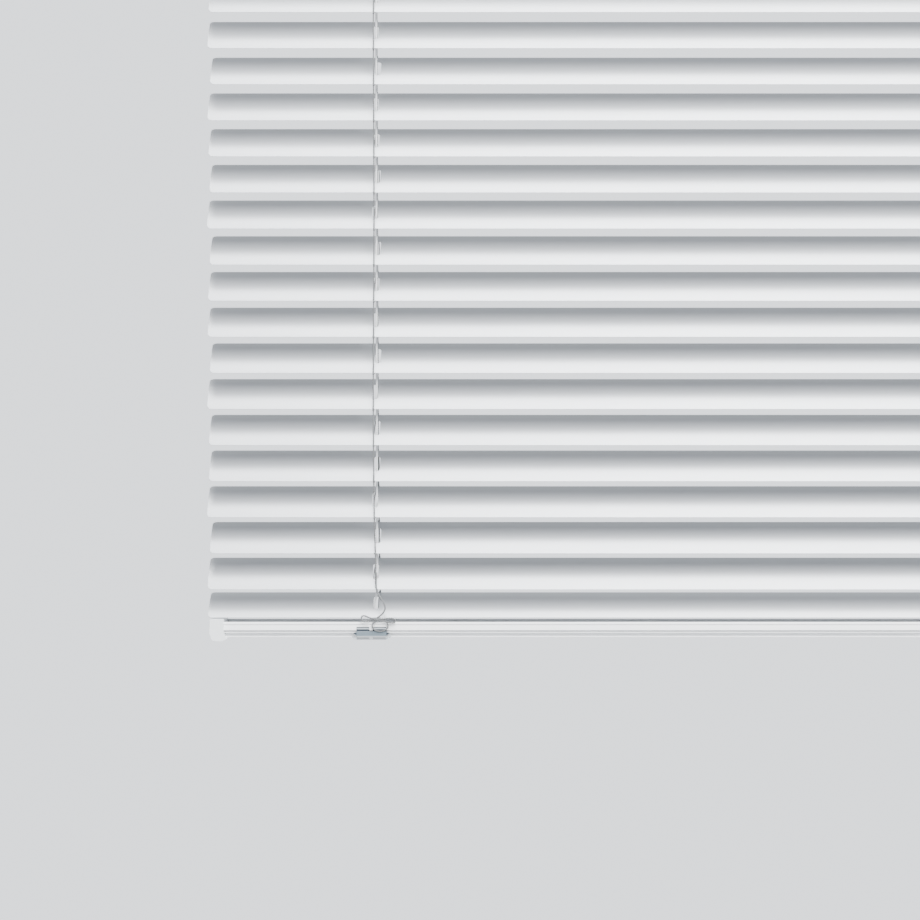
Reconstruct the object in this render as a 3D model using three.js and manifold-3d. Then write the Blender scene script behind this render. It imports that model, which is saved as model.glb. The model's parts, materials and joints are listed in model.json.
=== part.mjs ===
// A venetian blind with 25 mm aluminium slats, a cordless spring lift and a tilt wand.
// Millimetres, +Z up. The room is towards -Y and the window towards +Y.
// The origin is in the middle of the plane that the two brackets are fixed under.
// The slats hang tilted with their room-side edges down, and the bottom rail is right down.
import * as THREE from "three";
import { mergeVertices } from "three/addons/utils/BufferGeometryUtils.js";
import Module from "manifold-3d";

const wasm = await Module();
wasm.setup();

const radians = THREE.MathUtils.degToRad;

// Slats, numbered from the top. The pivot of a slat is the middle of its chord.
const slatCount = 18;
const slatLength = 594;
const slatWidth = 25;
const slatGauge = 0.25;
const slatCrownAngle = radians(16);
const slatCorner = 2.5;
const slatFacets = 6;
const slatPitch = 21.5;
const slatTilt = radians(47);
const topPivotZ = -46.5;

// The lowest slat lies on the bottom rail, so it is flatter and closer than the others.
const lowestTilt = radians(33);
const lowestDrop = 18.8;

// Ladders and lift cords. The cords pass through a slot in every slat.
const ladderX = 198.4;
const ladderReach = 13.5;
const ladderDiameter = 1;
const cordOffsetX = 1;
const cordY = -1.6;
const cordDiameter = 1.3;
const cordRunZ = -21.6;
const cordGap = 0.3;
const slotLength = 13;
const slotWidth = 3.4;

// Headrail: a channel open on top, with two lips.
const railWidth = 25;
const headrailTop = -1.5;
const headrailBottom = -26.5;
const headrailLength = 596;
const headrailWall = 0.8;
const headrailLip = 3.5;
const fitGap = 0.3;

// Tilt rod and its drums.
const rodZ = -12;
const rodFlats = 5;
const boreFlats = 5.6;
const drumLength = 14;
const drumRadius = 7.4;

// Tilter: a worm turned by the wand drives the gear on the rod.
const tilterX = 236;
const gearTeeth = 12;
const gearRadius = 6.2;
const wormLean = radians(25);
const wormDistance = 9.1;
const wormRadius = 2.3;
const stemRadius = 1.7;
const ballRadius = 2.4;
const ballReach = 25;

// Wand.
const wandFlats = 7;
const wandTop = -50;
const wandBottom = -330;

// Spring motor with its cord spool, in the middle of the headrail.
const motorLength = 68;
const motorTop = -15.4;
const spoolX = -16;
const spoolRadius = 8.2;

// Bottom rail.
const bottomRailTop = -418.2;
const bottomRailHeight = 10;
const bottomRailLength = 591.4;

const aluminium = { color: 0xd6d9dc, roughness: 0.35, metalness: 0.7 };
const enamel = { color: 0xe4e7e9, roughness: 0.4, metalness: 0.4 };
const steel = { color: 0xb9bdc1, roughness: 0.4, metalness: 0.9 };
const whitePlastic = { color: 0xe6eaec, roughness: 0.5, metalness: 0 };
const clearPlastic = { color: 0xa9bccb, roughness: 0.2, metalness: 0 };
const cordWhite = { color: 0xf0f1f0, roughness: 0.9, metalness: 0 };
const ladderGrey = { color: 0xaeb2b5, roughness: 0.9, metalness: 0 };

const blind = new THREE.Group();

function addPart(name, geometry, finish) {
  const mesh = new THREE.Mesh(geometry, new THREE.MeshStandardMaterial(finish));
  mesh.name = name;
  blind.add(mesh);
  return mesh;
}

// Joining and cutting.
function toSolid(geometry) {
  const bare = geometry.clone();
  bare.deleteAttribute("normal");
  bare.deleteAttribute("uv");
  const merged = mergeVertices(bare, 1e-4);
  const mesh = new wasm.Mesh({
    numProp: 3,
    vertProperties: new Float32Array(merged.attributes.position.array),
    triVerts: new Uint32Array(merged.index.array),
  });
  return new wasm.Manifold(mesh);
}

function toGeometry(solid) {
  const mesh = solid.getMesh();
  const geometry = new THREE.BufferGeometry();
  geometry.setAttribute("position", new THREE.BufferAttribute(mesh.vertProperties, 3));
  geometry.setIndex(new THREE.BufferAttribute(mesh.triVerts, 1));
  return geometry;
}

function joined(...geometries) {
  return toGeometry(geometries.map(toSolid).reduce((all, next) => all.add(next)));
}

function cut(geometry, ...tools) {
  return toGeometry(tools.map(toSolid).reduce((rest, tool) => rest.subtract(tool), toSolid(geometry)));
}

function common(geometry, other) {
  return toGeometry(toSolid(geometry).intersect(toSolid(other)));
}

// Basic shapes.
function box(x, y, z) {
  const geometry = new THREE.BoxGeometry(x[1] - x[0], y[1] - y[0], z[1] - z[0]);
  return geometry.translate((x[0] + x[1]) / 2, (y[0] + y[1]) / 2, (z[0] + z[1]) / 2);
}

function outline(points) {
  return new THREE.Shape(points.map(([a, b]) => new THREE.Vector2(a, b)));
}

function extruded(shape, depth, curveSegments = 8) {
  return new THREE.ExtrudeGeometry(shape, { depth, bevelEnabled: false, steps: 1, curveSegments });
}

// A section drawn in Y and Z, drawn out along X from one end to the other.
function alongX(shape, from, to) {
  const turn = new THREE.Matrix4().makeBasis(
    new THREE.Vector3(0, 1, 0),
    new THREE.Vector3(0, 0, 1),
    new THREE.Vector3(1, 0, 0),
  );
  return extruded(shape, to - from).applyMatrix4(turn).translate(from, 0, 0);
}

function alongZ(shape, from, to, curveSegments = 8) {
  return extruded(shape, to - from, curveSegments).translate(0, 0, from);
}

function cylinderAlongX(radius, from, to, sides = 18) {
  const geometry = new THREE.CylinderGeometry(radius, radius, to - from, sides);
  return geometry.rotateZ(Math.PI / 2).translate((from + to) / 2, 0, 0);
}

function cylinderAlongY(radius, from, to, sides = 12) {
  const geometry = new THREE.CylinderGeometry(radius, radius, to - from, sides);
  return geometry.translate(0, (from + to) / 2, 0);
}

function cylinderAlongZ(radius, from, to, sides = 18) {
  const geometry = new THREE.CylinderGeometry(radius, radius, to - from, sides);
  return geometry.rotateX(Math.PI / 2).translate(0, 0, (from + to) / 2);
}

function regularShape(radius, sides) {
  const points = [];
  for (let i = 0; i < sides; i++) {
    const angle = (2 * Math.PI * i) / sides;
    points.push([radius * Math.cos(angle), radius * Math.sin(angle)]);
  }
  return outline(points);
}

function hexShape(flats) {
  return regularShape(flats / Math.sqrt(3), 6);
}

// A round cord along a list of points, rounded where it bends.
function cordAlong(points, diameter, steps) {
  const path = new THREE.CatmullRomCurve3(points.map(([x, y, z]) => new THREE.Vector3(x, y, z)));
  path.curveType = "centripetal";
  return new THREE.ExtrudeGeometry(regularShape(diameter / 2, 8), {
    steps,
    bevelEnabled: false,
    extrudePath: path,
  });
}

function twoDigits(number) {
  return String(number).padStart(2, "0");
}

// Slats.
function slatSection() {
  const radius = slatWidth / 2 / Math.sin(slatCrownAngle);
  const drop = radius * Math.cos(slatCrownAngle);
  const start = Math.PI / 2 - slatCrownAngle;
  const end = Math.PI / 2 + slatCrownAngle;
  const outer = [];
  const inner = [];
  for (let i = 0; i <= slatFacets; i++) {
    const angle = start + ((end - start) * i) / slatFacets;
    outer.push(onArc(radius + slatGauge / 2, drop, angle));
    inner.push(onArc(radius - slatGauge / 2, drop, angle));
  }
  return outline(outer.concat(inner.reverse()));
}

function onArc(radius, drop, angle) {
  return [radius * Math.cos(angle), radius * Math.sin(angle) - drop];
}

function slotAt(x) {
  const straight = slotLength / 2 - slotWidth / 2;
  const hole = new THREE.Path();
  hole.absarc(x, straight, slotWidth / 2, 0, Math.PI, false);
  hole.absarc(x, -straight, slotWidth / 2, Math.PI, 2 * Math.PI, false);
  return hole;
}

function slatPlan() {
  const halfLength = slatLength / 2;
  const halfWidth = slatWidth / 2 + 0.2;
  const corner = slatCorner;
  const shape = new THREE.Shape();
  shape.absarc(halfLength - corner, halfWidth - corner, corner, 0, Math.PI / 2);
  shape.absarc(-halfLength + corner, halfWidth - corner, corner, Math.PI / 2, Math.PI);
  shape.absarc(-halfLength + corner, -halfWidth + corner, corner, Math.PI, 1.5 * Math.PI);
  shape.absarc(halfLength - corner, -halfWidth + corner, corner, 1.5 * Math.PI, 2 * Math.PI);
  shape.holes.push(slotAt(-ladderX + cordOffsetX), slotAt(ladderX + cordOffsetX));
  return shape;
}

function slatGeometry() {
  const sheet = alongX(slatSection(), -slatLength / 2 - 1, slatLength / 2 + 1);
  return common(sheet, alongZ(slatPlan(), -3, 5, 2));
}

function pivotZ(number) {
  if (number === slatCount) {
    return pivotZ(slatCount - 1) - lowestDrop;
  }
  return topPivotZ - slatPitch * (number - 1);
}

function buildSlats() {
  const geometry = slatGeometry();
  for (let number = 1; number <= slatCount; number++) {
    const slat = addPart(`slat_${twoDigits(number)}`, geometry, aluminium);
    slat.rotation.x = number === slatCount ? lowestTilt : slatTilt;
    slat.position.z = pivotZ(number);
  }
}

// Headrail.
function headrailSection() {
  const out = railWidth / 2;
  const inside = out - headrailWall;
  const floor = headrailBottom + headrailWall;
  const lipEnd = out - headrailLip;
  const under = headrailTop - headrailWall;
  const bend = 1.5;
  return outline([
    [-out, headrailTop],
    [-out, headrailBottom + bend],
    [-out + bend, headrailBottom],
    [out - bend, headrailBottom],
    [out, headrailBottom + bend],
    [out, headrailTop],
    [lipEnd, headrailTop],
    [lipEnd, under],
    [inside, under],
    [inside, floor + bend / 2],
    [inside - bend / 2, floor],
    [-inside + bend / 2, floor],
    [-inside, floor + bend / 2],
    [-inside, under],
    [-lipEnd, under],
    [-lipEnd, headrailTop],
  ]);
}

function buildHeadrail() {
  const channel = alongX(headrailSection(), -headrailLength / 2, headrailLength / 2);
  const belowFloor = [headrailBottom - 2, headrailBottom + 2];
  const ladderOpenings = [-ladderX, ladderX].map((x) => box([x - 15, x + 15], [-9.5, 9.5], belowFloor));
  const stemNotch = box([tilterX - 3.5, tilterX + 3.5], [-15, -7.5], [headrailBottom - 2, -8.5]);
  addPart("headrail", cut(channel, ...ladderOpenings, stemNotch), enamel);
}

function buildHeadrailCaps() {
  const start = headrailLength / 2 + fitGap;
  const end = start + 1.7;
  const plate = box([start, end], [-12.9, 12.9], [headrailBottom - 0.4, headrailTop + 0.3]);
  const tongue = box([start - 12, start + 0.5], [-11.1, 11.1], [headrailBottom + 1.6, -16]);
  const hollow = box([start - 13, start - 0.5], [-9.6, 9.6], [headrailBottom + 3, -10]);
  const cap = cut(joined(plate, tongue), hollow);
  addPart("headrail_cap_right", cap, whitePlastic);
  addPart("headrail_cap_left", cap, whitePlastic).rotation.z = Math.PI;
}

function buildBrackets() {
  const half = 11;
  const inner = railWidth / 2 + 0.4;
  const outer = inner + 1.2;
  const top = box([-half, half], [-outer, outer], [-1.2, 0]);
  const back = box([-half, half], [inner, outer], [-22, -0.5]);
  const front = box([-half, half], [-outer, -inner], [-6.5, -0.5]);
  const topHoles = [-6, 6].map((x) => cylinderAlongZ(2.1, -2, 1, 12).translate(x, 0, 0));
  const backHoles = [-6, 6].map((x) => cylinderAlongY(2.1, inner - 1, outer + 1).translate(x, 0, -12));
  const bracket = cut(joined(top, back, front), ...topHoles, ...backHoles);
  addPart("bracket_left", bracket, steel).position.x = -262;
  addPart("bracket_right", bracket, steel).position.x = 262;
}

// Tilt rod, ladder drums and the cradles that carry them.
function buildTiltShaft() {
  addPart("tilt_rod", alongX(hexShape(rodFlats), -214, 250), steel).position.z = rodZ;
  const half = drumLength / 2;
  const hub = cylinderAlongX(drumRadius - 1.4, -half, half);
  const flanges = [-half, -0.7, half - 1.4].map((x) => cylinderAlongX(drumRadius, x, x + 1.4));
  const bore = alongX(hexShape(boreFlats), -half - 1, half + 1);
  const drum = cut(joined(hub, ...flanges), bore);
  addPart("ladder_drum_left", drum, whitePlastic).position.set(-ladderX, 0, rodZ);
  addPart("ladder_drum_right", drum, whitePlastic).position.set(ladderX, 0, rodZ);
}

function buildCradles() {
  const floor = headrailBottom + headrailWall + fitGap;
  const block = box([-19, 19], [-10.6, 10.6], [floor, -7.5]);
  const collar = box([-14, 14], [-8.9, 8.9], [headrailBottom - 0.9, floor + 1]);
  const drumPocket = box([-8.2, 8.2], [-8.8, 8.8], [floor + 1.9, 0]);
  const rodGroove = box([-20, 20], [-3.4, 3.4], [rodZ - 3.4, 0]);
  const cordWay = box([-20, 20], [cordY - 1.5, cordY + 1.5], [cordRunZ - 1.3, rodZ]);
  const mouth = box([-4.5, 4.5], [-7.4, 7.4], [headrailBottom - 2, floor + 3]);
  const cradle = cut(joined(block, collar), drumPocket, rodGroove, cordWay, mouth);
  addPart("cradle_left", cradle, whitePlastic).position.x = -ladderX;
  addPart("cradle_right", cradle, whitePlastic).position.x = ladderX;
}

// Tilter.
function buildTilterHousing() {
  const floor = headrailBottom + headrailWall + fitGap;
  const shell = box([-14, 14], [-11.2, 11.2], [floor, -5]);
  const inside = box([-11.5, 11.5], [-10, 10], [floor + 1.6, 0]);
  const rodGroove = box([-15, 15], [-3.4, 3.4], [rodZ - 3.4, 0]);
  const stemNotch = box([-3, 3], [-12, -6], [floor - 1, -4]);
  const housing = cut(shell, inside, rodGroove, stemNotch);
  addPart("tilter_housing", housing, whitePlastic).position.x = tilterX;
}

function buildTiltGear() {
  const root = gearRadius - 1.7;
  const points = [];
  for (let tooth = 0; tooth < gearTeeth; tooth++) {
    const middle = (2 * Math.PI * tooth) / gearTeeth;
    for (const [share, radius] of [[-0.3, root], [-0.13, gearRadius], [0.13, gearRadius], [0.3, root]]) {
      const angle = middle + (share * 2 * Math.PI) / gearTeeth;
      points.push([radius * Math.cos(angle), radius * Math.sin(angle)]);
    }
  }
  const shape = outline(points);
  shape.holes.push(new THREE.Path(hexShape(boreFlats).getPoints()));
  addPart("tilt_gear", alongX(shape, -3, 3), whitePlastic).position.set(tilterX, 0, rodZ);
}

// The worm, its stem and the ball on the end of it, turned about their own +Z.
function wormGeometry() {
  const profile = [[0, 4.5], [1.5, 4.5]];
  const threads = 4;
  const lead = 2.4;
  for (let i = 0; i < threads; i++) {
    const top = 4.2 - i * lead;
    profile.push([1.5, top], [wormRadius, top - 0.6], [wormRadius, top - 1.1], [1.5, top - 1.7]);
  }
  profile.push([stemRadius, -6], [stemRadius, -ballReach + 1.6]);
  for (let angle = 50; angle <= 170; angle += 20) {
    const from = radians(angle);
    profile.push([ballRadius * Math.sin(from), -ballReach + ballRadius * Math.cos(from)]);
  }
  profile.push([0, -ballReach - ballRadius]);
  const points = profile.map(([r, z]) => new THREE.Vector2(r, z)).reverse();
  return new THREE.LatheGeometry(points, 14).rotateX(Math.PI / 2);
}

function wormStart() {
  return {
    y: -wormDistance * Math.cos(wormLean),
    z: rodZ + wormDistance * Math.sin(wormLean),
  };
}

function ballCentre() {
  const start = wormStart();
  return {
    y: start.y - ballReach * Math.sin(wormLean),
    z: start.z - ballReach * Math.cos(wormLean),
  };
}

function buildWorm() {
  const worm = addPart("tilter_worm", wormGeometry(), whitePlastic);
  worm.rotation.x = -wormLean;
  worm.position.set(tilterX, wormStart().y, wormStart().z);
}

// The socket clips round the ball and swings on it, and the wand turns in the socket.
function buildWandSocket() {
  const ball = ballCentre();
  const bottom = wandTop - ball.z + 0.3;
  const inner = ballRadius + 0.3;
  const outer = 3.9;
  const profile = [];
  for (let angle = 68; angle < 90; angle += 11) {
    profile.push([outer * Math.sin(radians(angle)), outer * Math.cos(radians(angle))]);
  }
  profile.push([outer, 0], [outer, bottom], [2.2, bottom], [2.2, -6], [0, -6], [0, -inner]);
  for (let angle = 164; angle >= 68; angle -= 16) {
    profile.push([inner * Math.sin(radians(angle)), inner * Math.cos(radians(angle))]);
  }
  profile.push(profile[0]);
  const points = profile.map(([r, z]) => new THREE.Vector2(r, z)).reverse();
  const socket = new THREE.LatheGeometry(points, 14).rotateX(Math.PI / 2);
  addPart("wand_socket", socket, clearPlastic).position.set(tilterX, ball.y, ball.z);
}

function buildWand() {
  const ball = ballCentre();
  const rod = alongZ(hexShape(wandFlats), wandBottom, wandTop);
  const spigot = cylinderAlongZ(1.8, wandTop - 1, ball.z - 6.4, 16);
  const grip = new THREE.CylinderGeometry(3.9, 4.5, 16, 16).rotateX(Math.PI / 2);
  grip.translate(0, 0, wandBottom - 5);
  addPart("wand", joined(rod, spigot, grip), clearPlastic).position.set(tilterX, ball.y, 0);
}

// Spring motor.
function buildMotor() {
  const floor = headrailBottom + headrailWall + fitGap;
  const half = motorLength / 2;
  const shell = box([-half, half], [-10.6, 10.6], [floor, motorTop]);
  const spoolWell = cylinderAlongZ(9.2, floor + 1.4, 0).translate(spoolX, 0, 0);
  const springWell = cylinderAlongZ(9.2, floor + 1.4, 0).translate(-spoolX, 0, 0);
  const cordWay = box([-half - 1, half + 1], [cordY - 1.5, cordY + 1.5], [cordRunZ - 1.3, 0]);
  const post = cylinderAlongZ(2, floor + 0.5, motorTop - 0.6, 16).translate(spoolX, 0, 0);
  const arbor = cylinderAlongZ(6, floor + 0.5, motorTop - 1.2).translate(-spoolX, 0, 0);
  const motor = joined(cut(shell, spoolWell, springWell, cordWay), post, arbor);
  addPart("spring_motor_case", motor, whitePlastic);

  const low = floor + 1.8;
  const high = motorTop - 0.8;
  const hub = cylinderAlongZ(spoolRadius - 2.2, low, high);
  const flanges = [low, (low + high) / 2 - 0.4, high - 0.8].map((z) => cylinderAlongZ(spoolRadius, z, z + 0.8));
  const spool = cut(joined(hub, ...flanges), cylinderAlongZ(2.35, low - 1, high + 1, 16));
  addPart("cord_spool", spool, whitePlastic).position.x = spoolX;
}

// Ladder strings: one in front of the slats and one behind them at each ladder.
// They stand off the axis of the tilted slats, and further off the flatter, lowest one.
function stringStandOff(tilt) {
  return ladderReach * Math.cos(tilt);
}

const ladderTop = headrailBottom - 2.5;
const ladderEnd = bottomRailTop + 0.3;

// The front string is slack over its last loop and comes in to the front of the bottom rail.
function frontStringRoute(x) {
  const y = -stringStandOff(slatTilt);
  const lowY = -stringStandOff(lowestTilt);
  return [
    [x, y, ladderTop],
    [x - 0.6, y, -180],
    [x - 1.2, y, -310],
    [x, y, -372],
    [x + 1.2, y, -398],
    [x + 3, y - 1, -403.5],
    [x + 6, lowY, -408],
    [x + 5, lowY - 0.5, -412.5],
    [x + 1.4, lowY - 0.3, ladderEnd + 2.6],
    [x + 1, lowY + 0.2, ladderEnd],
  ];
}

function rearStringRoute(x) {
  const y = stringStandOff(slatTilt);
  const lowY = stringStandOff(lowestTilt);
  return [
    [x, y, ladderTop],
    [x, y, -220],
    [x, y, -372],
    [x, y, -380],
    [x, (y + lowY) / 2, -389],
    [x, lowY, -400],
    [x, lowY, -409],
    [x, lowY, ladderEnd],
  ];
}

function buildLadders() {
  for (const [place, x] of [["left", -ladderX], ["right", ladderX]]) {
    const front = cordAlong(frontStringRoute(x), ladderDiameter, 50);
    addPart(`ladder_string_front_${place}`, front, ladderGrey);
    const rear = cordAlong(rearStringRoute(x), ladderDiameter, 30);
    addPart(`ladder_string_rear_${place}`, rear, ladderGrey);
  }
}

// Lift cords. Each length belongs to the slat whose number it bears, and rises with it:
// the even slats carry the left cord's lengths and the odd ones the right cord's.
function cordEnds(number) {
  const last = number + 2 > slatCount - 1;
  const top = pivotZ(number - 1);
  const bottom = last ? bottomRailTop - 3 : pivotZ(number + 1) + cordGap;
  return [top, bottom];
}

function buildLiftCord(place, side, firstSlat) {
  const x = side * ladderX + cordOffsetX;
  for (let number = firstSlat; number < slatCount; number += 2) {
    const [top, bottom] = cordEnds(number);
    const down = [[x, cordY, top], [x, cordY, (top + bottom) / 2], [x, cordY, bottom]];
    const inHeadrail = [
      [side * (motorLength / 2 + 1), cordY, cordRunZ],
      [side * 110, cordY, cordRunZ],
      [x - side * 4, cordY, cordRunZ],
      [x - side * 1.2, cordY, cordRunZ - 1],
      [x, cordY, cordRunZ - 4],
      [x, cordY, (headrailBottom + bottom) / 2],
      [x, cordY, bottom],
    ];
    const first = number === firstSlat;
    const route = first ? inHeadrail : down;
    const cord = cordAlong(route, cordDiameter, first ? 44 : 1);
    addPart(`lift_cord_${place}_${twoDigits(number)}`, cord, cordWhite);
  }
}

// Bottom rail. Its front and back have a fold line above a recessed skirt.
function bottomRailSection() {
  const out = railWidth / 2;
  const bottom = -bottomRailHeight;
  const half = [
    [out - 1.2, 0],
    [out, -1.2],
    [out, -5],
    [out - 0.5, -5.3],
    [out - 0.1, -5.8],
    [out - 0.5, -6.4],
    [out - 1.1, bottom + 1],
    [out - 0.7, bottom + 0.6],
    [out - 1.1, bottom],
  ];
  const mirrored = half.map(([y, z]) => [-y, z]).reverse();
  const inside = out - 2;
  const wall = 0.9;
  const hollow = [[inside, -wall], [inside, bottom + wall], [-inside, bottom + wall], [-inside, -wall]];
  const shape = outline(half.concat(mirrored).reverse());
  shape.holes.push(new THREE.Path(outline(hollow).getPoints()));
  return shape;
}

function buildBottomRail() {
  const half = bottomRailLength / 2;
  const tube = alongX(bottomRailSection(), -half, half).translate(0, 0, bottomRailTop);
  const holes = [-ladderX, ladderX].map((x) => {
    const hole = cylinderAlongZ(1.8, bottomRailTop - 4, bottomRailTop + 2, 12);
    return hole.translate(x + cordOffsetX, cordY, 0);
  });
  addPart("bottom_rail", cut(tube, ...holes), enamel);
}

function buildBottomCaps() {
  const end = slatLength / 2;
  const start = end - 8.6;
  const low = bottomRailTop - 11.8;
  const block = box([start, end], [-13.4, 13.4], [low + 1.4, bottomRailTop + 0.1]);
  const foot = box([start - 4, end - 1.2], [-11.5, 11.5], [low, low + 1.4]);
  const sole = box([start, end - 0.6], [-12.6, 12.6], [low + 0.5, low + 1.6]);
  const hollow = box(
    [start - 5, end - 1.3],
    [-12.9, 12.9],
    [bottomRailTop - bottomRailHeight - fitGap, bottomRailTop + 1],
  );
  const cap = cut(joined(block, foot, sole), hollow);
  addPart("rail_cap_right", cap, whitePlastic);
  addPart("rail_cap_left", cap, whitePlastic).rotation.z = Math.PI;
}

// The clip snaps round the underside of the bottom rail and holds the ladder.
function buildRailClips() {
  const under = bottomRailTop - bottomRailHeight - 0.3;
  const base = box([-9, 9], [-13.6, 13.6], [under - 0.9, under]);
  const legs = [-1, 1].map((side) => {
    const y = [side * 12.8, side * 13.6].sort((a, b) => a - b);
    return box([-9, 9], y, [under - 0.5, bottomRailTop - 3.6]);
  });
  const ears = box([-12.2, 12.2], [-12.2, 12.2], [under - 0.9, under - 0.1]);
  const slot = box([-2.5, 0.5], [-14, -12], [bottomRailTop - 6, bottomRailTop - 2]);
  const clip = cut(joined(base, ...legs, ears), slot);
  addPart("rail_clip_left", clip, clearPlastic).position.x = -ladderX;
  addPart("rail_clip_right", clip, clearPlastic).position.x = ladderX;
}

buildHeadrail();
buildHeadrailCaps();
buildBrackets();
buildTiltShaft();
buildCradles();
buildTilterHousing();
buildTiltGear();
buildWorm();
buildWandSocket();
buildWand();
buildMotor();
buildLadders();
buildLiftCord("left", -1, 2);
buildLiftCord("right", 1, 3);
buildSlats();
buildBottomRail();
buildBottomCaps();
buildRailClips();

export default blind;
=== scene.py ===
# A venetian blind: slats, ladders, cords and rails with their real finishes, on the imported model.
import bmesh
import bpy
import json
import math
from mathutils import Matrix, Vector


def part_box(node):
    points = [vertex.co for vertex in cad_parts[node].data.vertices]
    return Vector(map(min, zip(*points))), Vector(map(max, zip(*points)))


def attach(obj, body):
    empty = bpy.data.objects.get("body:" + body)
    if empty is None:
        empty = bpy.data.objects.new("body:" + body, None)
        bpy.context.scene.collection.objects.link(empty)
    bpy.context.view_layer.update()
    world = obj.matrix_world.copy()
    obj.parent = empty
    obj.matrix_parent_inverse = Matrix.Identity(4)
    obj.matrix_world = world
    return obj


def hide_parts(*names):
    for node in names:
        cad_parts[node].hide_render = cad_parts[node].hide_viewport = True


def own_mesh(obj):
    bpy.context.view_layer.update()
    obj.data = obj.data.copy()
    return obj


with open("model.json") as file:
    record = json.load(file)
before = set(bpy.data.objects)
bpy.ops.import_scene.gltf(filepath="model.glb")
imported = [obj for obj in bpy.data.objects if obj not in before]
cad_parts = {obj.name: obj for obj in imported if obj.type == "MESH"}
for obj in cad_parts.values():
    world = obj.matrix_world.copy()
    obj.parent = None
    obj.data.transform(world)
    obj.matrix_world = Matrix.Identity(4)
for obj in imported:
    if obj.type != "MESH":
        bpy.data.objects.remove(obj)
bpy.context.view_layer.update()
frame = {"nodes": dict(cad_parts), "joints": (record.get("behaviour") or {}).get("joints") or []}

NODES = frame["nodes"]
JOINTS = {joint["name"]: joint for joint in frame["joints"]}
MM = 0.001

# Driving dimensions, in metres, and angles in degrees.
SLATS = 18
SLAT_LENGTH = 0.594
SLAT_WIDTH = 0.025
SLAT_GAUGE = 0.00022
CROWN_ANGLE = 16
SLAT_CORNER = 0.0026
SLAT_STRIPS = 20
TILT = 47
LOWEST_TILT = 34
LADDER_X = 0.1984
LADDER_REACH = 0.0135
STRING_DIAMETER = 0.00095
STRING_PLIES = 2
STRING_LAY = 0.0021
TUBE_SIDES = 6
CORD_OFFSET = 0.001
CORD_Y = -0.0016
DROP_Y = -0.001
CORD_DIAMETER = 0.0013
SLOT_FRONT = 0.0058
SLOT_REAR = 0.0065
SLOT_WIDTH = 0.0034
SLOT_OFFSET = 0.0013
RAIL_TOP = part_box("bottom_rail")[1].z
RAIL_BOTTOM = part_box("bottom_rail")[0].z
RAIL_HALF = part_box("bottom_rail")[1].x
HEADRAIL_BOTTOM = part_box("headrail")[0].z
LADDERS = {"left": -LADDER_X, "right": LADDER_X}


# Building meshes.

def make_object(name, mesh, body, material, replaces=(), place=None):
    """A piece that rides a body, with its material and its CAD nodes."""
    piece = bpy.data.objects.new(name, mesh)
    bpy.context.scene.collection.objects.link(piece)
    if not mesh.materials:
        mesh.materials.append(material)
    if place is not None:
        piece.matrix_world = place
    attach(piece, body)
    if replaces:
        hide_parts(*replaces)
    return piece


def mesh_from(name, vertices, faces):
    mesh = bpy.data.meshes.new(name)
    mesh.from_pydata([tuple(v) for v in vertices], [], faces)
    mesh.validate()
    mesh.shade_smooth()
    return mesh


def shade(mesh, sharp_above):
    """Smooth shading, with sharp edges where faces meet at more than the given degrees."""
    mesh.shade_smooth()
    mesh.set_sharp_from_angle(angle=math.radians(sharp_above))


def spline_points(knots, spacing):
    """Evenly spaced points on a smooth curve through the knots."""
    knots = [Vector(k) for k in knots]
    ends = [2 * knots[0] - knots[1]] + knots + [2 * knots[-1] - knots[-2]]
    dense = []
    for a, b, c, d in zip(ends, ends[1:], ends[2:], ends[3:]):
        ab = max((b - a).length ** 0.5, 1e-6)
        bc = max((c - b).length ** 0.5, 1e-6)
        cd = max((d - c).length ** 0.5, 1e-6)
        start = (b - a) / ab - (c - a) / (ab + bc) + (c - b) / bc
        end = (c - b) / bc - (d - b) / (bc + cd) + (d - c) / cd
        steps = max(8, int((c - b).length / spacing * 2))
        for i in range(steps):
            t = i / steps
            dense.append(hermite(b, c, start * bc, end * bc, t))
    dense.append(knots[-1])
    return evenly(dense, spacing)


def hermite(b, c, start, end, t):
    t2 = t * t
    t3 = t2 * t
    leaving = (2 * t3 - 3 * t2 + 1) * b + (t3 - 2 * t2 + t) * start
    arriving = (3 * t2 - 2 * t3) * c + (t3 - t2) * end
    return leaving + arriving


def evenly(points, spacing):
    """The same path with its points a spacing apart."""
    lengths = [0.0]
    for a, b in zip(points, points[1:]):
        lengths.append(lengths[-1] + (b - a).length)
    count = max(2, round(lengths[-1] / spacing))
    result = []
    k = 0
    for i in range(count + 1):
        at = lengths[-1] * i / count
        while k < len(points) - 2 and lengths[k + 1] < at:
            k += 1
        share = (at - lengths[k]) / max(lengths[k + 1] - lengths[k], 1e-12)
        result.append(points[k].lerp(points[k + 1], min(1, share)))
    return result


def moving_frames(points):
    """A direction across the path at each point, carried along without twist."""
    tangents = []
    for i in range(len(points)):
        ahead = points[min(i + 1, len(points) - 1)]
        behind = points[max(i - 1, 0)]
        tangents.append((ahead - behind).normalized())
    side = tangents[0].orthogonal().normalized()
    frames = []
    for tangent in tangents:
        side = (side - tangent * side.dot(tangent)).normalized()
        frames.append((side.copy(), tangent.cross(side)))
    return frames


def tube(points, radius, sides, start=0):
    """Vertices and faces of a closed tube along the points. radius is a number or a function
    of the point's number and the angle round the tube."""
    frames = moving_frames(points)
    vertices = []
    faces = []
    for i, (centre, (across, up)) in enumerate(zip(points, frames)):
        for k in range(sides):
            angle = 2 * math.pi * k / sides
            r = radius(i, angle) if callable(radius) else radius
            vertices.append(centre + (across * math.cos(angle) + up * math.sin(angle)) * r)
    for i in range(len(points) - 1):
        for k in range(sides):
            low = start + i * sides
            nxt = (k + 1) % sides
            faces.append((low + k, low + nxt, low + sides + nxt, low + sides + k))
    faces.append(tuple(start + k for k in reversed(range(sides))))
    last = start + (len(points) - 1) * sides
    faces.append(tuple(last + k for k in range(sides)))
    return vertices, faces


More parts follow.
